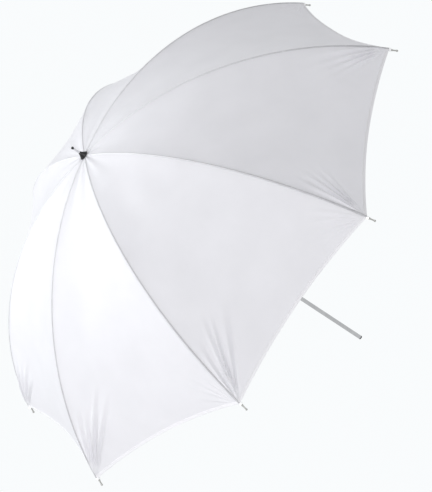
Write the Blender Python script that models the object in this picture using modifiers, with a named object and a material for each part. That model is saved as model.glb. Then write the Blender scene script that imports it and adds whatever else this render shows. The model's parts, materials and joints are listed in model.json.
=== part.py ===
"""Shoot-through studio umbrella, 109 cm across its rib tips.

Eight sprung steel ribs hang on a wire ring in the top notch, eight stretchers join them to a runner
that slides on a tube shaft, and a catch spring in the shaft holds the runner up. The canopy is eight
gores, one between each pair of ribs.

The shaft lies along +Z with its butt face at z = 0 and the canopy on top, open. Metres throughout.
Shapes that repeat round the shaft are made once in the plane y = 0, with X pointing away from the
shaft, and each copy is turned about Z to its rib's azimuth.
"""

import math

import bmesh
import bpy
from mathutils import Matrix, Vector

# ---- driving dimensions ----
RIBS = 8
CANOPY_RADIUS = 0.545  # shaft axis to a sewn corner
CORNER_HEIGHT = 0.440  # sewn corners above the butt face
CANOPY_RISE = 0.312  # sewn corners up to the canopy's crown
ARC_RADIUS = 0.608  # curve of each seam
CROWN_HOLE = 0.008  # radius of the hole in the canopy's crown
HEM_RISE = 0.016  # how far the hem curves in between two corners, along the seam's arc
GORE_SAG = 0.04  # inward sag of the cloth, as a share of the distance between two ribs
GORE_THICK = 0.0008
SEAM_SETBACK = 0.0006  # each gore's side edge to the seam line

GAP = 0.0003  # clearance between touching pieces
RIB_R = 0.0014
RIB_INSET = 0.0036  # rib centreline inside the canopy's face
EYELET_R = 0.0022
EYELET_THICK = 0.002
EYELET_HOLE_R = 0.0009
WIRE_RING_R = 0.012  # the two wire rings, centreline
WIRE_R = 0.0006
NOTCH_DIP = 0.003  # how far the ribs drop from the cloth to the notch
DIP_REACH = 0.045  # distance over which they drop

STRETCHER_R = 0.0012
CLIP_SHARE = 0.45  # place of the stretcher pivot along the rib's arc
CLIP_DROP = 0.0065  # stretcher pivot below the rib's centreline
FLEX_BEYOND_CLIP = 0.012  # where the rib bends most, beyond the clip
FLEX_GAP = 0.0012
CLIP_LENGTH = 0.009
CLIP_WIDTH = 0.005
CLIP_EDGE = 0.0003  # the clip's open upper edge above the rib's centreline
CLIP_FLOOR = 0.0026  # the clip's floor below the rib's centreline
EAR_WIDTH = 0.0054
EAR_SLOT = 0.0028
RIVET_R = 0.0008
RIVET_HOLE_R = 0.0011

SHAFT_R = 0.004
SHAFT_BORE_R = 0.0032
SLIDING_BORE_R = 0.0043
HUB_R = 0.0138  # slotted rims of the notch and the runner
HUB_SLOT_R = 0.009
HUB_SLOT_WIDTH = 0.0034
SLEEVE_R = 0.007
RUNNER_SLEEVE = 0.032
CROSS_PIN_R = 0.001
RIM_EDGE = 0.001  # bevel on the rims of the notch and the runner
NOTCH_SKIRT = 0.005  # rim below the notch's ring
NOTCH_SLEEVE = 0.011  # sleeve below that rim, pinned to the shaft
RUNNER_LIP = 0.0015  # finger ring at the runner's foot, beyond its sleeve
PLUG_FLANGE = 0.002
PLUG_DEPTH = 0.014

CATCH_AZIMUTH = math.radians(22.5)
CATCH_WIDTH = 0.0016
CATCH_LENGTH = 0.014
CATCH_NOSE = 0.0062  # nose to shaft axis
CATCH_BACK = 0.0016  # inner face to shaft axis
CATCH_LEAF = 0.0029  # outer face of the leaf's foot, inside the bore, to shaft axis
CATCH_FOOT = 0.006

FERRULE_R = 0.0094
FERRULE_TOP_R = 0.003
FERRULE_HEIGHT = 0.012
TIP_ROD_R = 0.002
BALL_R = 0.0029
BALL_HEIGHT = 0.0297  # ball centre above the crown
TIP_LENGTH = 0.0185  # rib tip beyond the sewn corner
RIB_IN_TIP = 0.005  # how much of that the rib's end takes up

ROUND = 20  # sides of a turned piece
SMALL_ROUND = 8
GORE_ROWS = 16
GORE_COLUMNS = 4

# ---- worked out from them ----
CROWN_HEIGHT = CORNER_HEIGHT + CANOPY_RISE
PITCH = 2 * math.pi / RIBS


def arc_centre():
    """Centre of the seam arc, from its two ends and its radius."""
    crown = Vector((CROWN_HOLE, 0, CROWN_HEIGHT))
    corner = Vector((CANOPY_RADIUS, 0, CORNER_HEIGHT))
    chord = corner - crown
    inward = Vector((chord.z, 0, -chord.x)).normalized()
    depth = math.sqrt(ARC_RADIUS**2 - (chord.length / 2) ** 2)
    return (crown + corner) / 2 + inward * depth


ARC_CENTRE = arc_centre()
CROWN_ANGLE = math.asin((CROWN_HOLE - ARC_CENTRE.x) / ARC_RADIUS)
CORNER_ANGLE = math.asin((CANOPY_RADIUS - ARC_CENTRE.x) / ARC_RADIUS)


def seam_point(angle, inset=0.0):
    """A point on the seam's arc, or inset metres inside it; angle is measured from +Z."""
    reach = ARC_RADIUS - inset
    return ARC_CENTRE + reach * Vector((math.sin(angle), 0, math.cos(angle)))


def rib_point(angle):
    """A point on the rib's centreline, which leaves the cloth near the notch."""
    point = seam_point(angle, RIB_INSET)
    share = min(1.0, max(0.0, (point.x - WIRE_RING_R) / DIP_REACH))
    point.z -= NOTCH_DIP * (1 - share * share * (3 - 2 * share))
    return point


def rib_angle_at(radius):
    return math.asin((radius - ARC_CENTRE.x) / (ARC_RADIUS - RIB_INSET))


NOTCH_PIVOT = rib_point(rib_angle_at(WIRE_RING_R))
CLIP_ANGLE = CROWN_ANGLE + CLIP_SHARE * (CORNER_ANGLE - CROWN_ANGLE)
STRETCHER_PIVOT = seam_point(CLIP_ANGLE, RIB_INSET + CLIP_DROP)
FLEX_ANGLE = CLIP_ANGLE + FLEX_BEYOND_CLIP / ARC_RADIUS
FLEX_PIVOT = seam_point(FLEX_ANGLE, RIB_INSET)
RUNNER_PIVOT = Vector((WIRE_RING_R, 0, 2 * STRETCHER_PIVOT.z - NOTCH_PIVOT.z))
NOTCH_TOP = CROWN_HEIGHT - 0.0017
RUNNER_TOP = RUNNER_PIVOT.z + 0.003
RUNNER_CROWN_BASE = RUNNER_PIVOT.z - 0.006
RUNNER_BOTTOM = RUNNER_CROWN_BASE - RUNNER_SLEEVE
CATCH_TOP = RUNNER_BOTTOM - GAP
STOP_PIN_HEIGHT = RUNNER_TOP + GAP + CROSS_PIN_R
NOTCH_PIN_HEIGHT = NOTCH_PIVOT.z - 0.011


# ---- scene and materials ----
for leftover in list(bpy.data.objects):
    bpy.data.objects.remove(leftover, do_unlink=True)

umbrella = bpy.data.collections.new("studio_umbrella")
bpy.context.scene.collection.children.link(umbrella)


def material(name, colour, roughness, metallic=0.0, transmission=0.0):
    made = bpy.data.materials.new(name)
    made.use_nodes = True
    shader = made.node_tree.nodes["Principled BSDF"]
    shader.inputs["Base Color"].default_value = (*colour, 1)
    shader.inputs["Roughness"].default_value = roughness
    shader.inputs["Metallic"].default_value = metallic
    shader.inputs["Transmission Weight"].default_value = transmission
    return made


NYLON = material("white_nylon", (0.86, 0.86, 0.88), 0.6, transmission=0.2)
STEEL = material("rib_steel", (0.55, 0.55, 0.56), 0.35, metallic=1.0)
CHROME = material("bright_steel", (0.72, 0.72, 0.73), 0.15, metallic=1.0)
WIRE = material("wire_steel", (0.6, 0.6, 0.6), 0.3, metallic=1.0)
BLACK = material("black_plastic", (0.015, 0.015, 0.016), 0.25)
RUBBER = material("black_rubber", (0.02, 0.02, 0.02), 0.6)


# ---- building blocks ----
def loose(mesh, name="shape"):
    """An object outside the model's collection, to be cut, joined or copied."""
    made = bpy.data.objects.new(name, mesh)
    bpy.context.scene.collection.objects.link(made)
    return made


def mesh_from(shape):
    mesh = bpy.data.meshes.new("shape")
    shape.to_mesh(mesh)
    shape.free()
    return mesh


def box(size, centre):
    shape = bmesh.new()
    bmesh.ops.create_cube(shape, size=1, matrix=Matrix.Translation(centre) @ Matrix.Diagonal((*size, 1)))
    return loose(mesh_from(shape))


def cylinder(radius, length, centre, axis="Z", sides=SMALL_ROUND):
    turn = {"X": Matrix.Rotation(math.pi / 2, 4, "Y"), "Y": Matrix.Rotation(math.pi / 2, 4, "X")}
    place = Matrix.Translation(centre) @ turn.get(axis, Matrix.Identity(4))
    shape = bmesh.new()
    bmesh.ops.create_cone(
        shape, cap_ends=True, segments=sides, radius1=radius, radius2=radius, depth=length, matrix=place
    )
    return loose(mesh_from(shape))


def evaluated(source):
    """The object's mesh with its modifiers, in world space."""
    bpy.context.view_layer.update()
    graph = bpy.context.evaluated_depsgraph_get()
    mesh = bpy.data.meshes.new_from_object(source.evaluated_get(graph))
    mesh.transform(source.matrix_world)
    return mesh


def combined(base, joins=(), cuts=()):
    """One mesh: base with the shapes in joins added and then the shapes in cuts taken away."""
    for operation, shapes in (("UNION", joins), ("DIFFERENCE", cuts)):
        for shape in shapes:
            step = base.modifiers.new(operation.lower(), "BOOLEAN")
            step.operation = operation
            step.object = shape
            step.solver = "EXACT"
    mesh = evaluated(base)
    for used in (base, *joins, *cuts):
        bpy.data.objects.remove(used, do_unlink=True)
    return mesh


def tube(points, radius):
    """A round rod along the points, as a closed mesh."""
    line = bpy.data.curves.new("rod", "CURVE")
    line.dimensions = "3D"
    line.bevel_depth = radius
    line.bevel_resolution = 2
    line.render_resolution_u = 0
    line.use_fill_caps = True
    spline = line.splines.new("POLY")
    spline.points.add(len(points) - 1)
    for target, point in zip(spline.points, points):
        target.co = (*point, 1)
    source = loose(line)
    mesh = evaluated(source)
    bpy.data.objects.remove(source, do_unlink=True)
    shape = bmesh.new()
    shape.from_mesh(mesh)
    bmesh.ops.remove_doubles(shape, verts=shape.verts, dist=0.00001)
    shape.to_mesh(mesh)
    shape.free()
    return loose(mesh)


def turned(profile, sides=ROUND, closed=False):
    """A solid of revolution about Z. profile is (radius, height) pairs, down the outer side."""
    shape = bmesh.new()
    corners = [shape.verts.new((radius, 0, height)) for radius, height in profile]
    for first, second in zip(corners, corners[1:] + corners[:1] if closed else corners[1:]):
        shape.edges.new((first, second))
    made = loose(mesh_from(shape))
    screw = made.modifiers.new("turn", "SCREW")
    screw.steps = sides
    screw.render_steps = sides
    screw.use_merge_vertices = True
    screw.merge_threshold = 0.00001
    return made


def ring_shape(radius, wire, height, sides=ROUND, wire_sides=6):
    """A ring of round wire about the shaft."""
    corners = []
    for step in range(wire_sides):
        turn = -2 * math.pi * step / wire_sides
        corners.append((radius + wire * math.cos(turn), height + wire * math.sin(turn)))
    return turned(corners, sides, closed=True)


def finished(name, mesh, look, pivot=None, azimuth=0.0, smooth_angle=35):
    """Puts a mesh made in the plane y = 0 into the model, turned to its azimuth, origin on its pivot."""
    if pivot is None:
        pivot = Vector()
    if not mesh.get("at_pivot"):
        mesh.transform(Matrix.Translation(-pivot))
        mesh["at_pivot"] = True
    mesh.shade_smooth()
    mesh.set_sharp_from_angle(angle=math.radians(smooth_angle))
    if not mesh.materials:
        mesh.materials.append(look)
    made = bpy.data.objects.new(name, mesh)
    made.rotation_euler.z = azimuth
    made.location = Matrix.Rotation(azimuth, 3, "Z") @ pivot
    umbrella.objects.link(made)
    return made


def round_the_shaft(name, mesh, look, pivot=None):
    """One copy of the mesh at each rib."""
    for rib in range(RIBS):
        finished(f"{name}_{rib + 1}", mesh, look, pivot, rib * PITCH)


def spread(first, last, count):
    return [first + (last - first) * step / (count - 1) for step in range(count)]


def slots(low, high, turn=0.0):
    """Cutter for the radial slots of a hub, one at each rib."""
    length = HUB_R - HUB_SLOT_R + 0.002
    shape = bmesh.new()
    for rib in range(RIBS):
        place = (
            Matrix.Rotation(rib * PITCH + turn, 4, "Z")
            @ Matrix.Translation((HUB_SLOT_R + length / 2, 0, (low + high) / 2))
            @ Matrix.Diagonal((length, HUB_SLOT_WIDTH, high - low, 1))
        )
        bmesh.ops.create_cube(shape, size=1, matrix=place)
    return loose(mesh_from(shape))


# ---- the pieces ----
def shaft():
    tube_body = turned(
        [
            (SHAFT_R, NOTCH_TOP - GAP),
            (SHAFT_R, PLUG_FLANGE + GAP),
            (SHAFT_BORE_R, PLUG_FLANGE + GAP),
            (SHAFT_BORE_R, NOTCH_TOP - GAP),
        ],
        closed=True,
    )
    slot_length = CATCH_LENGTH + PLUG_FLANGE
    slot_middle = Vector((SHAFT_R + RIM_EDGE, 0, CATCH_TOP + 4 * GAP - slot_length / 2))
    catch_slot = box((CATCH_NOSE, CATCH_WIDTH + 2 * GAP, slot_length), slot_middle)
    catch_slot.rotation_euler.z = CATCH_AZIMUTH
    pin_holes = [
        cylinder(CROSS_PIN_R + GAP, 0.02, Vector((0, 0, height)), "Y")
        for height in (NOTCH_PIN_HEIGHT, STOP_PIN_HEIGHT)
    ]
    finished("shaft_tube", combined(tube_body, cuts=[catch_slot, *pin_holes]), CHROME)

    plug_r = SHAFT_BORE_R - GAP
    plug = turned(
        [
            (0, PLUG_DEPTH),
            (plug_r - RIM_EDGE / 2, PLUG_DEPTH),
            (plug_r, PLUG_DEPTH - RIM_EDGE),
            (plug_r, PLUG_FLANGE),
            (SHAFT_R, PLUG_FLANGE),
            (SHAFT_R, 0),
            (0, 0),
        ]
    )
    finished("butt_plug", combined(plug), RUBBER)

    stop = cylinder(CROSS_PIN_R, 0.012, Vector((0, 0, STOP_PIN_HEIGHT)), "Y")
    finished("stop_pin", combined(stop), STEEL)


def notch():
    low = NOTCH_PIVOT.z - NOTCH_SKIRT
    hub = turned(
        [
            (HUB_R - RIM_EDGE, NOTCH_TOP),
            (HUB_R, NOTCH_TOP - RIM_EDGE),
            (HUB_R, low),
            (SLEEVE_R, low),
            (SLEEVE_R, low - NOTCH_SLEEVE),
            (SLIDING_BORE_R, low - NOTCH_SLEEVE),
            (SLIDING_BORE_R, NOTCH_TOP),
        ],
        closed=True,
    )
    rib_slots = slots(low - 0.002, NOTCH_PIVOT.z + EYELET_R + 2 * GAP)
    groove = ring_shape(WIRE_RING_R, WIRE_R + GAP, NOTCH_PIVOT.z)
    pin_hole = cylinder(CROSS_PIN_R + GAP, 0.03, Vector((0, 0, NOTCH_PIN_HEIGHT)), "Y")
    finished("top_notch", combined(hub, cuts=[rib_slots, groove, pin_hole]), BLACK)
    finished("notch_ring", combined(ring_shape(WIRE_RING_R, WIRE_R, NOTCH_PIVOT.z)), WIRE)
    pin = cylinder(CROSS_PIN_R, 2 * SLEEVE_R - 0.0006, Vector((0, 0, NOTCH_PIN_HEIGHT)), "Y")
    finished("notch_pin", combined(pin), STEEL)


def runner():
    hub = turned(
        [
            (HUB_R - RIM_EDGE, RUNNER_TOP),
            (HUB_R, RUNNER_TOP - RIM_EDGE),
            (HUB_R, RUNNER_CROWN_BASE),
            (SLEEVE_R + RIM_EDGE, RUNNER_CROWN_BASE - 0.004),
            (SLEEVE_R, RUNNER_CROWN_BASE - 0.007),
            (SLEEVE_R, RUNNER_BOTTOM + 0.007),
            (SLEEVE_R + RUNNER_LIP, RUNNER_BOTTOM + 0.005),
            (SLEEVE_R + RUNNER_LIP, RUNNER_BOTTOM + RIM_EDGE),
            (SLEEVE_R + RUNNER_LIP - RIM_EDGE, RUNNER_BOTTOM),
            (SLIDING_BORE_R, RUNNER_BOTTOM),
            (SLIDING_BORE_R, RUNNER_TOP),
        ],
        closed=True,
    )
    stretcher_slots = slots(RUNNER_PIVOT.z - EYELET_R - 2 * GAP, RUNNER_TOP + 0.002)
    groove = ring_shape(WIRE_RING_R, WIRE_R + GAP, RUNNER_PIVOT.z)
    finished("runner", combined(hub, cuts=[stretcher_slots, groove]), BLACK)
    finished("runner_ring", combined(ring_shape(WIRE_RING_R, WIRE_R, RUNNER_PIVOT.z)), WIRE)


def catch_spring():
    """A leaf that stands in the bore, its nose out through the shaft's slot under the runner."""
    outline = [
        (CATCH_BACK, CATCH_TOP),
        (CATCH_NOSE, CATCH_TOP),
        (CATCH_NOSE, CATCH_TOP - 0.003),
        (SHAFT_R, CATCH_TOP - CATCH_LENGTH),
        (CATCH_LEAF, CATCH_TOP - CATCH_LENGTH),
        (CATCH_LEAF, CATCH_TOP - CATCH_LENGTH - CATCH_FOOT),
        (CATCH_BACK, CATCH_TOP - CATCH_LENGTH - CATCH_FOOT),
    ]
    line = bpy.data.curves.new("leaf", "CURVE")
    line.dimensions = "2D"
    line.fill_mode = "BOTH"
    line.extrude = CATCH_WIDTH / 2
    line.render_resolution_u = 0
    spline = line.splines.new("POLY")
    spline.points.add(len(outline) - 1)
    spline.use_cyclic_u = True
    for target, (across, height) in zip(spline.points, outline):
        target.co = (across, height, 0, 1)
    source = loose(line)
    source.rotation_euler.x = math.pi / 2
    mesh = evaluated(source)
    bpy.data.objects.remove(source, do_unlink=True)
    shape = bmesh.new()
    shape.from_mesh(mesh)
    bmesh.ops.remove_doubles(shape, verts=shape.verts, dist=0.00001)
    shape.to_mesh(mesh)
    shape.free()
    finished("catch_spring", mesh, STEEL, Vector((CATCH_NOSE, 0, CATCH_TOP)), CATCH_AZIMUTH)


def top_fittings():
    seat = NOTCH_TOP + GAP
    base = CROWN_HEIGHT + 0.0004
    top = base + FERRULE_HEIGHT
    cone = turned(
        [
            (FERRULE_TOP_R - 0.0005, top),
            (FERRULE_TOP_R, top - 0.0006),
            (FERRULE_TOP_R + 0.0007, top - 0.003),
            (FERRULE_R - 0.0006, base + 0.0014),
            (FERRULE_R, base + 0.0008),
            (FERRULE_R, base),
            (0.0066, base),
            (0.0066, seat),
            (TIP_ROD_R + GAP, seat),
            (TIP_ROD_R + GAP, top),
        ],
        closed=True,
    )
    finished("ferrule", combined(cone), BLACK)

    ball_centre = CROWN_HEIGHT + BALL_HEIGHT
    flat = math.radians(142)
    profile = [
        (BALL_R * math.sin(turn), ball_centre + BALL_R * math.cos(turn)) for turn in spread(0, flat, 9)
    ]
    ball_base = profile[-1][1]
    finished("tip_ball", combined(turned([*profile, (0, ball_base)], 16)), BLACK)

    rod = turned(
        [
            (0, ball_base - GAP),
            (TIP_ROD_R, ball_base - GAP),
            (TIP_ROD_R, NOTCH_TOP - GAP),
            (0.0028, NOTCH_TOP - GAP),
            (0.0028, NOTCH_TOP - 0.014),
            (0, NOTCH_TOP - 0.014),
        ],
        16,
    )
    finished("tip_rod", combined(rod), CHROME)


def ribs():
    """Each rib is two nodes that meet where the sprung steel bends most, just beyond the clip."""
    first = rib_angle_at(WIRE_RING_R + 0.0012)
    last = FLEX_ANGLE - FLEX_GAP / ARC_RADIUS
    near_notch = [rib_point(angle) for angle in spread(first, rib_angle_at(WIRE_RING_R + DIP_REACH), 4)]
    along = [rib_point(angle) for angle in spread(rib_angle_at(WIRE_RING_R + DIP_REACH), last, 8)]
    inner = combined(
        tube(near_notch + along[1:], RIB_R),
        joins=[cylinder(EYELET_R, EYELET_THICK, NOTCH_PIVOT, "Y")],
        cuts=[cylinder(EYELET_HOLE_R, 0.01, NOTCH_PIVOT, "Y", 8)],
    )
    round_the_shaft("rib_inner", inner, STEEL, NOTCH_PIVOT)

    end = CORNER_ANGLE + RIB_IN_TIP / ARC_RADIUS
    outer = tube([rib_point(angle) for angle in spread(FLEX_ANGLE, end, 11)], RIB_R)
    round_the_shaft("rib_outer", combined(outer), STEEL, FLEX_PIVOT)


def rib_tips():
    """Pins with a blind hole that the rib's end sits in, in line with the rib at the corner."""
    corner = rib_point(CORNER_ANGLE)
    hole = RIB_R + GAP
    depth = RIB_IN_TIP + 0.0008
    pin = turned(
        [
            (0, TIP_LENGTH),
            (0.0013, TIP_LENGTH - 0.0003),
            (0.0022, TIP_LENGTH - 0.0015),
            (0.0022, TIP_LENGTH - 0.003),
            (0.0015, TIP_LENGTH - 0.0045),
            (0.0015, depth + 0.0025),
            (0.0021, depth + 0.001),
            (0.0021, 0.0006),
            (hole, 0.0006),
            (hole, depth),
            (0, depth),
        ],
        SMALL_ROUND,
    )
    pin.rotation_euler.y = math.pi / 2 + CORNER_ANGLE
    pin.location = corner
    round_the_shaft("rib_tip", combined(pin), CHROME, corner)


def joint_clips():
    """A saddle that grips the rib from below, with two ears, and the rivet that the stretcher turns on."""
    saddle_height = CLIP_EDGE + CLIP_FLOOR
    saddle = box((CLIP_LENGTH, CLIP_WIDTH, saddle_height), Vector((0, 0, CLIP_EDGE - saddle_height / 2)))
    ear_height = CLIP_DROP + EYELET_R - CLIP_FLOOR / 2
    ears = box((2 * EYELET_R, EAR_WIDTH, ear_height), Vector((0, 0, -CLIP_FLOOR / 2 - ear_height / 2)))
    between = box((0.02, EAR_SLOT, 0.01), Vector((0, 0, -CLIP_FLOOR - 0.005)))
    rib_groove = cylinder(RIB_R + GAP, 0.02, Vector(), "X", 12)
    body = loose(combined(saddle, joins=[ears], cuts=[between, rib_groove]))
    rivet = cylinder(RIVET_R, EAR_WIDTH + 0.0012, Vector((0, 0, -CLIP_DROP)), "Y", 8)
    mesh = combined(body, joins=[rivet])
    mesh.transform(Matrix.Translation(rib_point(CLIP_ANGLE)) @ Matrix.Rotation(CLIP_ANGLE, 4, "Y"))
    round_the_shaft("joint_clip", mesh, STEEL, STRETCHER_PIVOT)


def stretchers():
    span = RUNNER_PIVOT - STRETCHER_PIVOT
    along = span.normalized()
    rod = tube([STRETCHER_PIVOT + along * 0.0014, RUNNER_PIVOT - along * 0.0012], STRETCHER_R)
    mesh = combined(
        rod,
        joins=[
            cylinder(EYELET_R, EAR_SLOT - 2 * GAP, STRETCHER_PIVOT, "Y"),
            cylinder(EYELET_R, EYELET_THICK, RUNNER_PIVOT, "Y"),
        ],
        cuts=[
            cylinder(RIVET_HOLE_R, 0.01, STRETCHER_PIVOT, "Y", 8),
            cylinder(EYELET_HOLE_R, 0.01, RUNNER_PIVOT, "Y", 8),
        ],
    )
    round_the_shaft("stretcher", mesh, STEEL, STRETCHER_PIVOT)


def gore_point(down, across):
    """The canopy's face between rib 1 and rib 2: down and across run from 0 to 1."""
    belly = 4 * across * (1 - across)
    hem_angle = CORNER_ANGLE - HEM_RISE * belly / ARC_RADIUS
    angle = CROWN_ANGLE + (hem_angle - CROWN_ANGLE) * down
    here = seam_point(angle)
    left = here.copy()
    right = Matrix.Rotation(PITCH, 3, "Z") @ here
    width = (right - left).length
    setback = SEAM_SETBACK / width
    point = left.lerp(right, setback + (1 - 2 * setback) * across)
    face = Vector((math.sin(angle), 0, math.cos(angle)))
    face.rotate(Matrix.Rotation(PITCH / 2, 3, "Z"))
    return point - face * GORE_SAG * width * belly


def canopy():
    shape = bmesh.new()
    bmesh.ops.create_grid(shape, x_segments=GORE_ROWS, y_segments=GORE_COLUMNS, size=0.5)
    for corner in shape.verts:
        corner.co = gore_point(corner.co.x + 0.5, corner.co.y + 0.5)
    bmesh.ops.recalc_face_normals(shape, faces=shape.faces)
    if sum(face.normal.z for face in shape.faces) < 0:
        bmesh.ops.reverse_faces(shape, faces=shape.faces)
    gore = loose(mesh_from(shape))
    skin = gore.modifiers.new("thickness", "SOLIDIFY")
    skin.thickness = GORE_THICK
    skin.offset = -1
    round_the_shaft("canopy_gore", combined(gore), NYLON, NOTCH_PIVOT)


shaft()
notch()
runner()
catch_spring()
top_fittings()
ribs()
rib_tips()
joint_clips()
stretchers()
canopy()
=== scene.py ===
import json
import math
import random

import bmesh
import bpy
import numpy as np
from mathutils import Matrix, Vector


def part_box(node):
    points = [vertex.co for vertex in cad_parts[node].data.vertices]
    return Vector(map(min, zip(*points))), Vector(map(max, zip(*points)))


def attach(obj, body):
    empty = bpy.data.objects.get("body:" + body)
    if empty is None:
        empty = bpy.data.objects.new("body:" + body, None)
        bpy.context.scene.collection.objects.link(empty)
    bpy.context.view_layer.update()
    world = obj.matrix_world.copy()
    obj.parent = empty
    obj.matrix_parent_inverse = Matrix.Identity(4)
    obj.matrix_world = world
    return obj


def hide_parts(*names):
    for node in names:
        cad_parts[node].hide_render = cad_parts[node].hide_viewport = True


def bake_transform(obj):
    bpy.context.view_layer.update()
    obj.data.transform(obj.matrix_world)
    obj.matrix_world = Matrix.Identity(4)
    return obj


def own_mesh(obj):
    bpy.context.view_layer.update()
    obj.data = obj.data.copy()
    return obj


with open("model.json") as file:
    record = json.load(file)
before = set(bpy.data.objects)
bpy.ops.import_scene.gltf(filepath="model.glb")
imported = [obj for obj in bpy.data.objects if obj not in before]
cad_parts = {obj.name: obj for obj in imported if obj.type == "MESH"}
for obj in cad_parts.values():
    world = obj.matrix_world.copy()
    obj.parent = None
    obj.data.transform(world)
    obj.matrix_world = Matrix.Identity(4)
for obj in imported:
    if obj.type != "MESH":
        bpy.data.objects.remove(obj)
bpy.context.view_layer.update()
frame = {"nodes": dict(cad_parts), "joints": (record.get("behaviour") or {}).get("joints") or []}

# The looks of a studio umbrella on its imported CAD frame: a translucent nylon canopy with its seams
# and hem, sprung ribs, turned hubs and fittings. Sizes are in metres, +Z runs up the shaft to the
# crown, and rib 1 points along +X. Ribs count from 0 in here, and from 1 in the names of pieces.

RIBS = 8
PITCH = 2 * math.pi / RIBS
HANDS = ((1, "left"), (-1, "right"))  # the cloth on each side of a rib
JOINTS = {joint["name"]: joint for joint in frame["joints"]}

# ---- canopy and ribs, as in the CAD ----
ARC_RADIUS = 0.608  # curve of each seam
CROWN_HOLE = 0.008  # radius of the hole in the crown
SKIN_HALF = 0.0004  # half the thickness of the CAD's cloth
HEM_RISE = 0.016  # how far the hem curves in between two corners
GORE_SAG = 0.04  # inward sag, as a share of the distance between two ribs
RIB_INSET = 0.0036  # rib centreline inside the cloth's face
RIB_R = 0.0014
RIB_START = 0.0012  # from a rib's hinge to the end of its wire
RIB_IN_TIP = 0.005
NOTCH_DIP = 0.003  # how far a rib dips to meet the notch
DIP_REACH = 0.045

# ---- hubs and fittings ----
SLEEVE_R = 0.007  # sleeves of the notch and the runner
SLEEVE_EDGE = 0.0006
SHAFT_BORE = 0.0043
RIM_EDGE = 0.0012  # rounding of the hubs' rims
HUB_SLOT_R = 0.009  # inner end of a slot
HUB_SLOT_DEPTH = 0.010
HUB_SLOT_WIDTH = 0.0034
SLOT_SIDE = 0.0028  # a slot's height over or under the pivot that it holds
SLOT_OPEN = 0.002  # how far a slot runs out of the hub
HUB_SIDES = 72
NOTCH_SKIRT = 0.005  # from the pivots down to the skirt's edge
RUNNER_CROWN = 0.009
CROWN_TAPER = 0.0066  # height of the taper from the runner's crown to its sleeve
RUNNER_FOOT = 0.0015  # how far the foot stands out from the sleeve
FOOT_HEIGHT = 0.005
FOOT_EDGE = 0.001
GRIP_RINGS = 7
GRIP_START = 0.008  # first ring below the crown
GRIP_STEP = 0.0024
GRIP_RISE = 0.0007
GRIP_HALF = 0.0004  # half the height of a ring's face
CAP_HEIGHT = 0.012
CAP_NECK_R = 0.003
CAP_SOCKET_R = 0.0066  # the part of the cap inside the crown
CAP_BORE = 0.0023
CAP_EDGE = 0.0002
SLOT_EDGE = 0.00025
SHARP_ANGLE = math.radians(40)

# ---- thread ----
THREAD_R = 0.00035
TIE_TURNS = 3
TIE_STEP = 2.3 * THREAD_R  # advance of half a turn
TIE_CLEAR = 0.0004
CORNER_TURNS = 6
CORNER_STEP = 0.00036
CORNER_LIFT = 0.0008  # the corner's bar of thread stands this far off the rib's centreline
CORNER_TALL = 0.0034
CORNER_WIDE = 0.0027
CORNER_START = 0.0012

# half of the seam's section from its ridge outwards: distance and height, in millimetres
SEAM_HALF = ((0, 0.95), (0.6, 0.8), (1.2, 0.5), (2.1, 0.35), (2.3, 0.0))
SEAM_ROWS = 170
SEAM_START = 0.003  # radians past the crown's hole
SEAM_FULL_WIDTH = 0.016  # the seam narrows where the gore is narrower than this

gore_low, gore_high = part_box("canopy_gore_1")
CORNER = Vector((gore_high.x, 0, gore_low.z + SKIN_HALF))
CROWN = Vector((CROWN_HOLE, 0, gore_high.z))
NOTCH = Vector(JOINTS["canopy_fold"]["pos_m"])
FLEX = Vector(JOINTS["rib_1_flex"]["pos_m"])


def arc_centre():
    """Centre of the seam's arc, which runs from the crown's hole to the corner."""
    chord = CORNER - CROWN
    inward = Vector((chord.z, 0, -chord.x)).normalized()
    return (CROWN + CORNER) / 2 + inward * math.sqrt(ARC_RADIUS**2 - (chord.length / 2) ** 2)


CENTRE = arc_centre()
CROWN_ANGLE = math.asin((CROWN.x - CENTRE.x) / ARC_RADIUS)
CORNER_ANGLE = math.asin((CORNER.x - CENTRE.x) / ARC_RADIUS)
FLEX_ANGLE = math.atan2(FLEX.x - CENTRE.x, FLEX.z - CENTRE.z)


def angle_at(radius):
    return math.asin((radius - CENTRE.x) / ARC_RADIUS)


def outward(angle):
    return Vector((math.sin(angle), 0, math.cos(angle)))


def down_slope(angle):
    return Vector((math.cos(angle), 0, -math.sin(angle)))


def gore_width(angle):
    return 2 * (CENTRE.x + ARC_RADIUS * np.sin(angle)) * math.sin(PITCH / 2)


# name, first and last angle, rows of faces, share of its width that the cloth keeps when folded
BANDS = (
    ("top", CROWN_ANGLE, angle_at(0.06), 12, 0.80),
    ("crown", angle_at(0.06), angle_at(0.15), 16, 0.50),
    ("middle", angle_at(0.15), FLEX_ANGLE, 34, 0.30),
    ("outer", FLEX_ANGLE, angle_at(0.43), 36, 0.14),
    ("rim", angle_at(0.43), CORNER_ANGLE, 60, 0.135),
)
RIM_CROWDING = 1.3  # rows crowd towards the corners, and columns towards the seam
COLUMNS = 0.5 * np.linspace(0, 1, 73) ** 1.6
HEM_WIDTH = 0.006
HEM_LIFT = 0.0004
HEM_CREASE = 0.001

# folds that fan out from a corner: angles off the seam in degrees, lengths and heights
PULLED_FOLDS = {"first": 8.5, "step": 9.5, "length": (0.140, 0.200), "height": (0.0026, 0.0050)}
SLACK_FOLDS = {"first": 16.0, "step": 14.0, "length": (0.095, 0.14), "height": (0.0008, 0.0015)}
PULLED_SIDE = (1, 1, 1, 1, 1, 1, 1, -1)  # side of each seam where its corner pulls the cloth most
SHARP_FOLD = 2  # which fold of a pulled corner is the sharpest
FOLD_NARROW = 0.0024  # half the width of a fold where it is narrowest
FOLD_FADE = 0.03  # folds grow to full height over this length from the corner
FOLD_PEAK = 27 / 4  # brings the top of x * (1 - x) ** 2 to 1
PUCKER_HEIGHT = 0.00022
PUCKER_REACH = 0.007
WAVE_HEIGHT = 0.0011


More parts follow.
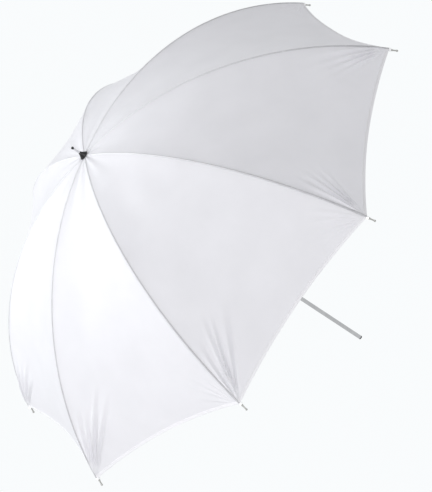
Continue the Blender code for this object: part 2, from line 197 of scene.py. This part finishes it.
# ---- the cloth's surface ----
def corner_folds(rib, side):
    """Folds that fan out from a sewn corner: (angle off the seam, half-width, length, height)."""
    draw = random.Random(97 * rib + 13 * (side > 0) + 5)
    pulled = side == PULLED_SIDE[rib]
    kind = PULLED_FOLDS if pulled else SLACK_FOLDS
    folds = []
    for number in range(4):
        angle = math.radians(kind["first"] + number * kind["step"] + draw.uniform(-2.0, 2.0))
        half = math.radians(draw.uniform(2.4, 4.2))
        length = draw.uniform(*kind["length"])
        height = draw.uniform(*kind["height"])
        if pulled and number == SHARP_FOLD:
            half *= 0.8
            height *= 1.4
        folds.append((angle, half, length, height))
    return folds


FOLDS = {(rib, side): corner_folds(rib, side) for rib in range(RIBS) for side in (1, -1)}


def smooth(t):
    t = np.clip(t, 0, 1)
    return t * t * (3 - 2 * t)


def relief(rib, side, across, angle, width):
    """Height of folds, puckers and soft waves over the tight cloth, outward."""
    along = (CORNER_ANGLE - angle) * ARC_RADIUS
    aside = across * width
    far = np.hypot(aside, along)
    bearing = np.arctan2(aside, along)
    height = np.zeros_like(far)
    for centre, half, length, tall in FOLDS[rib, side]:
        share = np.clip(far / length, 0, 1)
        off = (bearing - centre) * far / np.maximum(half * far, FOLD_NARROW)
        crest = np.exp(-(off**2)) - 0.5 * np.exp(-((off - 1.5) ** 2))
        height += tall * FOLD_PEAK * share * (1 - share) ** 2 * crest * smooth(far / FOLD_FADE)
    height *= smooth(bearing / 0.06) * smooth((0.5 - across) / 0.12)
    pucker = np.sin(along / 0.0041 + 1.7 * rib + side) * np.sin(along / 0.0137 + rib)
    height += PUCKER_HEIGHT * pucker * smooth(aside / 0.002) * np.exp(-aside / PUCKER_REACH)
    gore = rib if side > 0 else (rib - 1) % RIBS
    place = across if side > 0 else 1 - across
    wave = np.sin(3.1 * place * math.pi + 1.3 * gore + angle * 5.0) * np.sin(angle * 8.0 + 0.9 * gore)
    height += WAVE_HEIGHT * wave * (4 * across * (1 - across)) ** 2
    return height


def cloth_at(rib, side, across, angle, lift=0.0):
    """Points of the canopy's face beside a rib; across runs from 0 on the seam to 0.5 at mid-gore."""
    across, angle = np.broadcast_arrays(np.asarray(across, float), np.asarray(angle, float))
    radius = CENTRE.x + ARC_RADIUS * np.sin(angle)
    height = CENTRE.z + ARC_RADIUS * np.cos(angle)
    width = gore_width(angle)
    face = np.stack(
        [
            np.sin(angle) * math.cos(PITCH / 2),
            side * np.sin(angle) * math.sin(PITCH / 2),
            np.cos(angle),
        ],
        -1,
    )
    points = np.stack(
        [
            radius * (1 - across * (1 - math.cos(PITCH))),
            side * radius * across * math.sin(PITCH),
            height,
        ],
        -1,
    )
    sag = GORE_SAG * width * 4 * across * (1 - across)
    rise = relief(rib, side, across, angle, width) - sag + lift
    return turned_to(rib, points + face * rise[..., None])


def turned_to(rib, points):
    """Points laid out for the first rib, turned to another."""
    turn = rib * PITCH
    spin = np.array([[math.cos(turn), -math.sin(turn), 0], [math.sin(turn), math.cos(turn), 0], [0, 0, 1]])
    return np.asarray(points, float) @ spin.T


def hem_angle(across):
    return CORNER_ANGLE - HEM_RISE * 4 * across * (1 - across) / ARC_RADIUS


# ---- meshes ----
def sheet_mesh(name, points, flip=False, uv=None, normals=None):
    """A grid of faces over points[row][column]."""
    rows, columns = points.shape[:2]
    index = np.arange(rows * columns).reshape(rows, columns)
    quads = np.stack([index[:-1, :-1], index[1:, :-1], index[1:, 1:], index[:-1, 1:]], -1).reshape(-1, 4)
    if flip:
        quads = quads[:, ::-1]
    mesh = bpy.data.meshes.new(name)
    mesh.from_pydata(points.reshape(-1, 3).tolist(), [], quads.tolist())
    if uv is not None:
        layer = mesh.uv_layers.new(name="UVMap")
        layer.data.foreach_set("uv", uv.reshape(-1, 2)[quads.ravel()].astype(np.float32).ravel())
    mesh.shade_smooth()
    if normals is not None:
        mesh.normals_split_custom_set_from_vertices(normals.reshape(-1, 3).tolist())
    made = bpy.data.objects.new(name, mesh)
    bpy.context.scene.collection.objects.link(made)
    return made


def object_from(shape, name):
    mesh = bpy.data.meshes.new(name)
    shape.to_mesh(mesh)
    shape.free()
    made = bpy.data.objects.new(name, mesh)
    bpy.context.scene.collection.objects.link(made)
    return made


def tube_mesh(name, points, radius, sides):
    """A round rod along points, closed at both ends."""
    path = np.asarray(points, float)
    ahead = np.gradient(path, axis=0)
    ahead /= np.linalg.norm(ahead, axis=1)[:, None]
    guide = np.cross(path[-1] - path[0], [0.13, 0.21, 1.0])
    aside = guide - (ahead @ guide)[:, None] * ahead
    aside /= np.linalg.norm(aside, axis=1)[:, None]
    other = np.cross(ahead, aside)
    turns = np.linspace(0, 2 * math.pi, sides, endpoint=False)
    shape = bmesh.new()
    rings = []
    for centre, one, two in zip(path, aside, other):
        ring = [centre + radius * (math.cos(t) * one + math.sin(t) * two) for t in turns]
        rings.append([shape.verts.new(point) for point in ring])
    for first, second in zip(rings, rings[1:]):
        for step in range(sides):
            after = (step + 1) % sides
            shape.faces.new((first[step], first[after], second[after], second[step]))
    shape.faces.new(rings[0][::-1])
    shape.faces.new(rings[-1])
    bmesh.ops.recalc_face_normals(shape, faces=shape.faces)
    made = object_from(shape, name)
    made.data.shade_smooth()
    return made


def turned_piece(name, profile, sides):
    """A solid of revolution about Z, from (radius, height) pairs."""
    shape = bmesh.new()
    turns = [2 * math.pi * step / sides for step in range(sides)]
    rings = []
    for radius, height in profile:
        if radius < 1e-7:
            rings.append([shape.verts.new((0, 0, height))])
            continue
        ring = [(radius * math.cos(t), radius * math.sin(t), height) for t in turns]
        rings.append([shape.verts.new(point) for point in ring])
    for first, second in zip(rings, rings[1:]):
        for step in range(sides):
            after = (step + 1) % sides
            if len(first) == 1:
                shape.faces.new((first[0], second[step], second[after]))
            elif len(second) == 1:
                shape.faces.new((first[step], second[0], first[after]))
            else:
                shape.faces.new((first[step], second[step], second[after], first[after]))
    bmesh.ops.remove_doubles(shape, verts=shape.verts, dist=0.0000005)
    bmesh.ops.recalc_face_normals(shape, faces=shape.faces)
    made = object_from(shape, name)
    made.data.shade_smooth()
    made.data.set_sharp_from_angle(angle=SHARP_ANGLE)
    return made


def soften_edges(piece, width):
    soften = piece.modifiers.new("edges", "BEVEL")
    soften.width = width
    soften.segments = 2
    soften.limit_method = "ANGLE"
    soften.harden_normals = True


# ---- materials ----
WAVES_PER_TURN = 20  # a wave texture of scale 1 makes this many bands in a length of 2 pi
WEAVE_PITCH = 0.45  # these three are in millimetres
STITCH_LENGTH = 2.6
STITCH_HALF = 0.4
# colour of the painted shade of a rib seen through its seam
RIB_SHADE_COLOUR = (0.22, 0.22, 0.24, 1)
THREAD_COLOUR = (0.93, 0.93, 0.94, 1)


class Look:
    """A material with a Principled shader and short ways to add nodes."""

    def __init__(self, name, colour, roughness, **values):
        self.material = bpy.data.materials.new(name)
        self.material.use_nodes = True
        self.tree = self.material.node_tree
        self.shader = self.tree.nodes["Principled BSDF"]
        self.shader.inputs["Base Color"].default_value = (*colour, 1)
        self.shader.inputs["Roughness"].default_value = roughness
        for socket, value in values.items():
            self.shader.inputs[socket.replace("_", " ")].default_value = value

    def node(self, kind, inputs=None, **settings):
        made = self.tree.nodes.new(kind)
        for key, value in settings.items():
            setattr(made, key, value)
        for socket, value in (inputs or {}).items():
            if isinstance(value, bpy.types.NodeSocket):
                self.tree.links.new(value, made.inputs[socket])
            else:
                made.inputs[socket].default_value = value
        return made

    def link(self, source, target):
        self.tree.links.new(source, target)

    def sums(self, operation, first, second=0.0, third=0.0):
        return self.node("ShaderNodeMath", {0: first, 1: second, 2: third}, operation=operation).outputs[0]

    def coordinates(self, kind, scale):
        source = self.node("ShaderNodeTexCoord").outputs[kind]
        return self.node("ShaderNodeMapping", {"Vector": source, "Scale": scale}).outputs[0]

    def noise(self, where, scale, detail=3.0, rough=0.5):
        return self.node(
            "ShaderNodeTexNoise", {"Vector": where, "Scale": scale, "Detail": detail, "Roughness": rough}
        ).outputs["Fac"]

    def spread(self, value, low, high):
        return self.node(
            "ShaderNodeMapRange",
            {"Value": value, "From Min": 0.3, "From Max": 0.7, "To Min": low, "To Max": high},
        ).outputs[0]

    def blend_colours(self, share, first, second):
        made = self.node("ShaderNodeMix", {"Factor": share}, data_type="RGBA")
        made.inputs[6].default_value = (*first, 1)
        made.inputs[7].default_value = (*second, 1)
        return made.outputs[2]

    def bump(self, height, distance, strength=1.0, under=None):
        made = self.node("ShaderNodeBump", {"Height": height, "Distance": distance, "Strength": strength})
        if under is not None:
            self.link(under, made.inputs["Normal"])
        return made.outputs[0]


def weave(look, where, pitch):
    """Height of a plain weave, 0 to 1, from a UV in millimetres."""
    scale = 2 * math.pi / (WAVES_PER_TURN * pitch)
    across, along = (
        look.node(
            "ShaderNodeTexWave", {"Vector": where, "Scale": scale}, bands_direction=direction
        ).outputs["Fac"]
        for direction in ("X", "Y")
    )
    both = look.sums("MULTIPLY", look.sums("ADD", across, along), 0.35)
    return look.sums("MULTIPLY_ADD", across, along, both)


def nylon(name, colour, through, stitch_rows=(), rib_shade=0.0):
    """Plain-woven white nylon that lets light through, with rows of stitches where a seam has them.
    Where asked, it darkens along V, from the crown to the corners: painted shade of the rib seen through the
    seam."""
    look = Look(name, colour, 0.42, Sheen_Weight=0.2, Sheen_Roughness=0.4, Specular_IOR_Level=0.5)
    uv = look.coordinates("UV", (1000, 1000, 1000))
    place = look.coordinates("Object", (1, 1, 1))
    threads = weave(look, uv, WEAVE_PITCH)
    cloudy = look.spread(look.noise(place, 14.0, 4.0), 0.0, 1.0)
    slubs = look.noise(look.coordinates("UV", (90, 1400, 1)), 1.0, 2.0)
    tint = look.blend_colours(cloudy, colour, tuple(0.965 * c for c in colour))
    # painted shade: the rib's shadow through the seam, darker towards the corners, in random patches
    if rib_shade:
        reach = look.node("ShaderNodeSeparateXYZ", {"Vector": uv}).outputs[1]
        shade_ramp = look.node(
            "ShaderNodeMapRange",
            {"Value": reach, "From Min": 100.0, "From Max": 640.0, "To Min": 0.0, "To Max": rib_shade},
        ).outputs[0]
        shade_share = look.sums("MULTIPLY", shade_ramp, look.spread(look.noise(place, 40.0, 3.0), 0.75, 1.15))
        dark = look.node("ShaderNodeMix", {"Factor": shade_share, 6: tint}, data_type="RGBA")
        dark.inputs[7].default_value = RIB_SHADE_COLOUR
        tint = dark.outputs[2]
    normal = look.bump(threads, 0.00006, 0.5)
    normal = look.bump(slubs, 0.00008, 0.35, normal)
    if stitch_rows:
        parts = look.node("ShaderNodeSeparateXYZ", {"Vector": uv})
        mask = None
        for row in stitch_rows:
            off = look.sums("ABSOLUTE", look.sums("SUBTRACT", parts.outputs[0], row))
            near = look.sums("MINIMUM", look.sums("DIVIDE", off, STITCH_HALF), 1.0)
            line = look.sums("SUBTRACT", 1.0, near)
            beat = look.sums("SINE", look.sums("MULTIPLY", parts.outputs[1], 2 * math.pi / STITCH_LENGTH))
            dash = look.sums("MULTIPLY", line, look.sums("GREATER_THAN", beat, -0.55))
            mask = dash if mask is None else look.sums("MAXIMUM", mask, dash)
        normal = look.bump(mask, 0.0004, 1.0, normal)
        mixed = look.node("ShaderNodeMix", {"Factor": mask, 6: tint}, data_type="RGBA")
        mixed.inputs[7].default_value = THREAD_COLOUR
        tint = mixed.outputs[2]
    look.link(tint, look.shader.inputs["Base Color"])
    look.link(normal, look.shader.inputs["Normal"])
    glow = look.node("ShaderNodeBsdfTranslucent", {"Color": tint, "Normal": normal})
    mixer = look.node("ShaderNodeMixShader", {"Fac": through, 1: look.shader.outputs[0], 2: glow.outputs[0]})
    look.link(mixer.outputs[0], look.tree.nodes["Material Output"].inputs["Surface"])
    return look.material


def metal(name, colour, roughness, grain):
    """Plated steel with fine draw marks and duller patches."""
    look = Look(name, colour, roughness, Metallic=1.0)
    place = look.coordinates("Object", (1, 1, 1))
    marks = look.noise(place, 900.0, 2.0)
    patches = look.noise(place, 60.0, 4.0)
    look.link(look.spread(patches, roughness * 0.75, roughness * 1.5), look.shader.inputs["Roughness"])
    look.link(
        look.blend_colours(look.spread(patches, 0.0, 1.0), colour, tuple(0.86 * c for c in colour)),
        look.shader.inputs["Base Color"],
    )
    look.link(look.bump(marks, grain, 0.4), look.shader.inputs["Normal"])
    return look.material


def plastic(name, colour, roughness, texture, **values):
    """Moulded plastic or rubber: a fine skin, and paler rubbed places."""
    look = Look(name, colour, roughness, **values)
    place = look.coordinates("Object", (1, 1, 1))
    skin = look.noise(place, 1600.0, 2.0)
    rubbed = look.noise(place, 90.0, 4.0)
    look.link(look.spread(rubbed, roughness * 0.8, roughness * 1.35), look.shader.inputs["Roughness"])
    look.link(
        look.blend_colours(look.spread(rubbed, 0.0, 1.0), colour, tuple(1.6 * c + 0.004 for c in colour)),
        look.shader.inputs["Base Color"],
    )
    look.link(look.bump(skin, texture, 0.5), look.shader.inputs["Normal"])
    return look.material


CLOTH = nylon("nylon_cloth", (0.90, 0.895, 0.93), 0.36)
# the seam's grey towards the corners is painted shade of the rib behind it
SEAM = nylon("nylon_seam", (0.88, 0.88, 0.91), 0.14, stitch_rows=(-1.5, 1.5), rib_shade=0.5)
# the hem is paler than the cloth as painted light, standing in for the light from behind that its folded
# layers keep out
HEM = nylon("nylon_hem", (0.95, 0.945, 0.975), 0.12, stitch_rows=(4.6,))
THREAD = plastic("white_thread", (0.86, 0.86, 0.87), 0.6, 0.00005, Sheen_Weight=0.3)
STEEL = metal("rib_steel_look", (0.56, 0.56, 0.57), 0.3, 0.00003)
BRIGHT = metal("bright_steel_look", (0.74, 0.74, 0.75), 0.16, 0.00002)
WIRE = metal("wire_look", (0.6, 0.6, 0.61), 0.26, 0.00003)
BLACK = plastic("black_plastic_look", (0.016, 0.016, 0.017), 0.38, 0.00006)
GLOSS = plastic(
    "gloss_black_look", (0.004, 0.004, 0.005), 0.2, 0.00002, Coat_Weight=0.15, Coat_Roughness=0.08
)
PIN = metal("rib_pin_look", (0.62, 0.62, 0.60), 0.38, 0.00003)
RUBBER = plastic("rubber_look", (0.022, 0.022, 0.022), 0.7, 0.0001)


def dress(made, look):
    made.data.materials.clear()
    made.data.materials.append(look)
    return made


def fold_away(piece, side, first, last):
    """Gives the piece a mesh of its own; it works out the directions along and across the rib, but moves no
    point.
    """
    start = CENTRE + ARC_RADIUS * outward(first)
    end = CENTRE + ARC_RADIUS * outward(last)
    along = (end - start).normalized()
    aside = Vector((-math.sin(PITCH / 2), side * math.cos(PITCH / 2), 0))
    aside -= aside.dot(along) * along
    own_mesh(piece)


def canopy():
    """Each half gore, cut into bands, each band on its own stretch of rib."""
    for rib in range(RIBS):
        for side, hand in HANDS:
            for name, first, last, rows, keep in BANDS:
                columns = COLUMNS if last > FLEX_ANGLE else COLUMNS[::2]
                down = np.linspace(0, 1, rows + 1)[:, None]
                end = np.full_like(columns, last)
                if name == "rim":
                    down = 1 - (1 - down) ** RIM_CROWDING
                    end = hem_angle(columns)
                angle = first + (end - first) * down
                piece = cloth_piece(f"cloth_{name}_{hand}_{rib + 1}", rib, side, columns, angle)
                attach(piece, f"rib_end_{rib + 1}" if last > FLEX_ANGLE else f"rib_{rib + 1}")
                gore = rib + 1 if side > 0 else (rib - 1) % RIBS + 1
                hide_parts(f"canopy_gore_{gore}")
                fold_away(piece, side, first, last)


def cloth_piece(name, rib, side, columns, angle):
    """Half a gore between two rings of the canopy, with the normals of the whole surface."""
    across = np.broadcast_to(columns, angle.shape)
    step = 0.0004
    by_row = cloth_at(rib, side, across, angle + step) - cloth_at(rib, side, across, angle - step)
    by_column = cloth_at(rib, side, across + step, angle) - cloth_at(rib, side, across - step, angle)
    normals = side * np.cross(by_row, by_column)
    normals /= np.linalg.norm(normals, axis=-1)[..., None]
    uv = np.stack([across * gore_width(angle), angle * ARC_RADIUS], -1)
    piece = sheet_mesh(name, cloth_at(rib, side, across, angle), flip=side < 0, uv=uv, normals=normals)
    return dress(piece, CLOTH)


def hems():
    """The folded edge: cloth turned over the hem, outside and inside, with its row of stitches."""
    outer = [
        (HEM_WIDTH, 0.0),
        (HEM_WIDTH - HEM_LIFT, 1.0),
        (HEM_WIDTH * 0.55, 1.0),
        (HEM_CREASE, 1.0),
        (0.0, 0.6),
    ]
    inner = [(inset, -lift) for inset, lift in outer[:0:-1]]
    loop = [*outer, (-HEM_LIFT / 2, 0.0), *inner]
    reach = COLUMNS * gore_width(CORNER_ANGLE)
    for rib in range(RIBS):
        for side, hand in HANDS:
            rows, coordinates = [], []
            for inset, lift in loop:
                angle = hem_angle(COLUMNS) - inset / ARC_RADIUS
                rows.append(cloth_at(rib, side, COLUMNS, angle, HEM_LIFT * lift))
                coordinates.append(np.stack([np.full_like(reach, inset), reach], -1))
            piece = sheet_mesh(
                f"hem_{hand}_{rib + 1}", np.stack(rows), flip=side < 0, uv=np.stack(coordinates)
            )
            dress(piece, HEM)
            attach(piece, f"rib_end_{rib + 1}")
            fold_away(piece, side, FLEX_ANGLE, CORNER_ANGLE)


def seams():
    """The raised seam over each rib, cloth folded on itself and sewn in two rows."""
    section = [(-offset, lift) for offset, lift in SEAM_HALF[:0:-1]] + list(SEAM_HALF)
    angles = np.linspace(CROWN_ANGLE + SEAM_START, CORNER_ANGLE, SEAM_ROWS)
    width = gore_width(angles)
    narrow = np.minimum(1.0, width / SEAM_FULL_WIDTH)
    for rib in range(RIBS):
        columns, coordinates = [], []
        for offset, lift in section:
            side = 1 if offset >= 0 else -1
            across = abs(offset) / 1000 * narrow / width
            columns.append(cloth_at(rib, side, across, angles, lift / 1000))
            coordinates.append(np.stack([np.full_like(angles, offset / 1000), angles * ARC_RADIUS], -1))
        piece = sheet_mesh(f"seam_{rib + 1}", np.stack(columns, 1), uv=np.stack(coordinates, 1))
        dress(piece, SEAM)
        bend_with_rib(piece)


def bend_with_rib(piece):
    """Bakes the piece's placing into its mesh."""
    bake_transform(piece)


def rib_line(angle):
    """A point of the first rib's centreline, which dips to its hinge near the notch."""
    point = CENTRE + (ARC_RADIUS - RIB_INSET) * outward(angle)
    share = min(1.0, max(0.0, (point.x - NOTCH.x) / DIP_REACH))
    point.z -= NOTCH_DIP * (1 - share * share * (3 - 2 * share))
    return point


def ribs():
    """Sprung wires from the notch to the tips, each in one length."""
    start = math.asin((NOTCH.x + RIB_START - CENTRE.x) / (ARC_RADIUS - RIB_INSET))
    points = [rib_line(angle) for angle in np.linspace(start, CORNER_ANGLE + RIB_IN_TIP / ARC_RADIUS, 90)]
    for rib in range(RIBS):
        piece = tube_mesh(f"rib_{rib + 1}_wire", turned_to(rib, points), RIB_R, sides=12)
        dress(piece, STEEL)
        bend_with_rib(piece)
        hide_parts(f"rib_outer_{rib + 1}")


def wound_thread(name, rib, angle, turns, steps, lift, tall, wide, start, advance, radius):
    """Thread wound round a rib: each turn is tall by wide, lifted off the rib's centreline."""
    middle = rib_line(angle)
    points = [
        middle
        + outward(angle) * (lift + tall * math.cos(t))
        + Vector((0, wide * math.sin(t), 0))
        + down_slope(angle) * (start + advance * (t / math.pi - turns))
        for t in np.linspace(0, turns * 2 * math.pi, steps)
    ]
    piece = tube_mesh(name, turned_to(rib, points), radius, sides=8)
    return dress(piece, THREAD)


def ties():
    """Loops of thread that hold each seam to its rib, beside the clip and halfway along each part."""
    high = RIB_INSET + TIE_CLEAR
    low = -RIB_R - THREAD_R
    outer_length = CORNER_ANGLE - FLEX_ANGLE
    spots = (
        (CROWN_ANGLE + 0.42 * (FLEX_ANGLE - CROWN_ANGLE), "rib"),
        (FLEX_ANGLE - 0.036, "rib"),
        (FLEX_ANGLE + 0.4 * outer_length, "rib_end"),
        (FLEX_ANGLE + 0.75 * outer_length, "rib_end"),
    )
    for rib in range(RIBS):
        for number, (angle, body) in enumerate(spots, 1):
            piece = wound_thread(
                f"tie_{rib + 1}_{number}", rib, angle, TIE_TURNS, 49,
                lift=(high + low) / 2, tall=-(high - low) / 2, wide=RIB_R + THREAD_R,
                start=0, advance=TIE_STEP, radius=THREAD_R,
            )
            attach(piece, f"{body}_{rib + 1}")


def corner_stitches():
    """Bar of thread that sews each corner of the canopy round its pin."""
    for rib in range(RIBS):
        piece = wound_thread(
            f"corner_stitch_{rib + 1}", rib, CORNER_ANGLE, CORNER_TURNS, 91,
            lift=CORNER_LIFT, tall=CORNER_TALL, wide=CORNER_WIDE,
            start=CORNER_START, advance=CORNER_STEP, radius=1.2 * THREAD_R,
        )
        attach(piece, f"rib_end_{rib + 1}")


def cut_slots(piece, low, high):
    """Cuts the radial slots that hold the eyelets, one at each rib, through the rim of a turned hub."""
    shape = bmesh.new()
    for rib in range(RIBS):
        place = (
            Matrix.Rotation(rib * PITCH, 4, "Z")
            @ Matrix.Translation((HUB_SLOT_R + HUB_SLOT_DEPTH / 2, 0, (low + high) / 2))
            @ Matrix.Diagonal((HUB_SLOT_DEPTH, HUB_SLOT_WIDTH, high - low, 1))
        )
        bmesh.ops.create_cube(shape, size=1, matrix=place)
    cutter = object_from(shape, "cutter")
    cut = piece.modifiers.new("slots", "BOOLEAN")
    cut.operation = "DIFFERENCE"
    cut.object = cutter
    cut.solver = "EXACT"
    bpy.context.view_layer.update()
    mesh = bpy.data.meshes.new_from_object(piece.evaluated_get(bpy.context.evaluated_depsgraph_get()))
    piece.modifiers.clear()
    piece.data = mesh
    bpy.data.objects.remove(cutter, do_unlink=True)
    mesh.shade_smooth()
    mesh.set_sharp_from_angle(angle=SHARP_ANGLE)
    soften_edges(piece, SLOT_EDGE)


def rounded_rim(wide, top):
    """Outline of a hub's rim, from its top to its side."""
    return [(wide - RIM_EDGE, top), (wide - RIM_EDGE / 3, top - RIM_EDGE / 3), (wide, top - RIM_EDGE)]


def bore(wide, low, high):
    """Outline of a hub's bore, from its lower end back to where its rim starts."""
    return [(SHAFT_BORE, low), (SHAFT_BORE, high), (wide - RIM_EDGE, high)]


def notch():
    """The hub that the ribs hang on: a slotted skirt over a sleeve."""
    low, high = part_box("top_notch")
    wide = (high.x - low.x) / 2
    skirt = NOTCH.z - NOTCH_SKIRT
    outline = [
        *rounded_rim(wide, high.z),
        (wide, skirt),
        (SLEEVE_R + SLEEVE_EDGE, skirt),
        (SLEEVE_R, skirt - SLEEVE_EDGE),
        (SLEEVE_R, low.z),
        *bore(wide, low.z, high.z),
    ]
    piece = turned_piece("notch_body", outline, HUB_SIDES)
    cut_slots(piece, skirt - SLOT_OPEN, NOTCH.z + SLOT_SIDE)
    dress(piece, BLACK)
    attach(piece, "root")
    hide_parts("top_notch")


def runner():
    """The sliding hub: a slotted crown, a taper, a sleeve with grip rings, and a foot."""
    low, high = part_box("runner")
    wide = (high.x - low.x) / 2
    crown = high.z - RUNNER_CROWN
    foot = SLEEVE_R + RUNNER_FOOT
    rings = []
    for step in range(GRIP_RINGS):
        middle = crown - GRIP_START - GRIP_STEP * step
        rings += [
            (SLEEVE_R, middle + 2 * GRIP_HALF),
            (SLEEVE_R + GRIP_RISE, middle + GRIP_HALF),
            (SLEEVE_R + GRIP_RISE, middle - GRIP_HALF),
            (SLEEVE_R, middle - 2 * GRIP_HALF),
        ]
    outline = [
        *rounded_rim(wide, high.z),
        (wide, crown),
        (wide - 0.0016, crown - 0.0016),
        (SLEEVE_R + 0.0012, crown - 0.0044),
        (SLEEVE_R, crown - CROWN_TAPER),
        *rings,
        (SLEEVE_R, low.z + FOOT_HEIGHT + 0.0016),
        (foot, low.z + FOOT_HEIGHT),
        (foot, low.z + FOOT_EDGE),
        (foot - 0.0008, low.z),
        *bore(wide, low.z, high.z),
    ]
    piece = turned_piece("runner_body", outline, HUB_SIDES)
    cut_slots(piece, JOINTS["runner_pivot"]["pos_m"][2] - SLOT_SIDE, high.z + SLOT_OPEN)
    dress(piece, BLACK)
    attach(piece, "runner")
    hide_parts("runner")


def ferrule_cap():
    """The glossy cone on the crown, with a socket that goes into the crown's hole."""
    low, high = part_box("ferrule")
    wide = (high.x - low.x) / 2
    base = high.z - CAP_HEIGHT
    outline = [
        (CAP_NECK_R - 0.0007, high.z),
        (CAP_NECK_R, high.z - 0.0006),
        (CAP_NECK_R + 0.0006, high.z - 0.0028),
        (CAP_NECK_R + 0.0022, high.z - 0.0055),
        (wide - 0.0016, base + 0.0026),
        (wide - 0.0002, base + 0.0011),
        (wide, base + 0.0005),
        (wide, base),
        (CAP_SOCKET_R, base),
        (CAP_SOCKET_R, low.z),
        (CAP_BORE, low.z),
        (CAP_BORE, high.z),
    ]
    piece = turned_piece("ferrule_cap", outline, sides=48)
    soften_edges(piece, CAP_EDGE)
    dress(piece, GLOSS)
    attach(piece, "root")
    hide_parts("ferrule")


def tip_bead():
    """The ball on the end of the tip rod, flat where the rod goes in."""
    low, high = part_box("tip_ball")
    reach = (high.x - low.x) / 2
    middle = high.z - reach
    sweep = np.linspace(0, math.radians(142), 22)
    outline = [(reach * math.sin(t), middle + reach * math.cos(t)) for t in sweep]
    piece = turned_piece("tip_bead", [*outline, (0, outline[-1][1])], sides=36)
    dress(piece, GLOSS)
    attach(piece, "root")
    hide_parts("tip_ball")


canopy()
hems()
seams()
ribs()
ties()
corner_stitches()
notch()
runner()
ferrule_cap()
tip_bead()

CAD_LOOKS = {
    "shaft_tube": BRIGHT, "butt_plug": RUBBER, "top_notch": BLACK, "notch_ring": WIRE, "notch_pin": STEEL,
    "stop_pin": STEEL, "ferrule": GLOSS, "tip_rod": BRIGHT, "tip_ball": GLOSS, "runner": BLACK,
    "runner_ring": WIRE, "catch_spring": STEEL,
}
for node, made in frame["nodes"].items():
    look = CAD_LOOKS.get(node)
    if look is None:
        look = CLOTH if node.startswith("canopy") else PIN if node.startswith("rib_tip") else STEEL
    made.data.materials.clear()
    made.data.materials.append(look)


# ---- floor, light and camera ----
FLOOR_HEIGHT = -0.8
LIGHTS_FACE = Vector((0, 0, 0.55))
COOL = (0.95, 0.98, 1.0)
NEUTRAL = (1.0, 0.99, 1.0)
# name, place, width, power, colour
LAMPS = (
    ("left_light", (-0.83, 1.23, 2.18), 1.6, 28, COOL),
    ("back_light", (0.0, 1.76, 1.87), 1.6, 14, COOL),
    ("front_light", (0.0, -1.70, 2.25), 1.6, 8, NEUTRAL),
    ("key_light", (-1.71, -1.37, 1.24), 1.0, 11, NEUTRAL),
    ("low_light", (-1.95, -0.35, 0.75), 1.0, 3, NEUTRAL),
)
CAMERA_PLACE = (-1.790, -4.747, 3.075)
CAMERA_AZIMUTH = math.radians(20.593)  # from +Y towards +X
CAMERA_ELEVATION = math.radians(-27.798)
CAMERA_ROLL = math.radians(56.687)  # clockwise, seen from behind the camera
CAMERA_LENS = 209.4


def unshadowed(tree, kind, seen, lit):
    """Brightness seen in the picture, and the brightness that it lights the object with."""
    path = tree.nodes.new("ShaderNodeLightPath")
    level = tree.nodes.new("ShaderNodeMapRange")
    level.inputs["To Min"].default_value = lit
    level.inputs["To Max"].default_value = seen
    tree.links.new(path.outputs["Is Camera Ray"], level.inputs["Value"])
    tree.links.new(level.outputs[0], kind.inputs["Strength"])


def lamp(name, place, size, power, colour):
    """A soft round light that faces the canopy and stays out of the picture."""
    light = bpy.data.lights.new(name, "AREA")
    light.shape = "DISK"
    light.size = size
    light.energy = power
    light.color = colour
    made = bpy.data.objects.new(name, light)
    made.location = place
    made.rotation_euler = (LIGHTS_FACE - made.location).to_track_quat("-Z", "Y").to_euler()
    made.visible_camera = False
    bpy.context.scene.collection.objects.link(made)


def studio():
    """A pale floor that meets a pale room, and soft lights."""
    world = bpy.data.worlds.new("studio")
    bpy.context.scene.world = world
    world.use_nodes = True
    backdrop = world.node_tree.nodes["Background"]
    backdrop.inputs["Color"].default_value = (1, 1, 1, 1)
    unshadowed(world.node_tree, backdrop, 0.95, 0.58)

    shape = bmesh.new()
    bmesh.ops.create_grid(shape, x_segments=1, y_segments=1, size=40)
    floor = object_from(shape, "floor")
    floor.location.z = FLOOR_HEIGHT
    paint = bpy.data.materials.new("floor_white")
    paint.use_nodes = True
    tree = paint.node_tree
    tree.nodes.remove(tree.nodes["Principled BSDF"])
    glow = tree.nodes.new("ShaderNodeEmission")
    glow.inputs["Color"].default_value = (0.97, 0.99, 1, 1)
    tree.links.new(glow.outputs[0], tree.nodes["Material Output"].inputs["Surface"])
    unshadowed(tree, glow, 0.98, 0.68)
    floor.data.materials.append(paint)

    for values in LAMPS:
        lamp(*values)
    bpy.context.scene.view_settings.view_transform = "Standard"


def camera():
    """A long lens, looking down on the canopy's outside, and rolled with the umbrella's tilt."""
    lens = bpy.data.cameras.new("camera")
    lens.lens = CAMERA_LENS
    lens.sensor_width = 36
    made = bpy.data.objects.new("camera", lens)
    forward = Vector(
        (
            math.cos(CAMERA_ELEVATION) * math.sin(CAMERA_AZIMUTH),
            math.cos(CAMERA_ELEVATION) * math.cos(CAMERA_AZIMUTH),
            math.sin(CAMERA_ELEVATION),
        )
    )
    level = forward.cross(Vector((0, 0, 1))).normalized()
    right = math.cos(CAMERA_ROLL) * level - math.sin(CAMERA_ROLL) * level.cross(forward)
    up = right.cross(forward)
    turn = Matrix((right, up, -forward)).transposed().to_4x4()
    made.matrix_world = Matrix.Translation(CAMERA_PLACE) @ turn
    bpy.context.scene.collection.objects.link(made)
    bpy.context.scene.camera = made


studio()
camera()
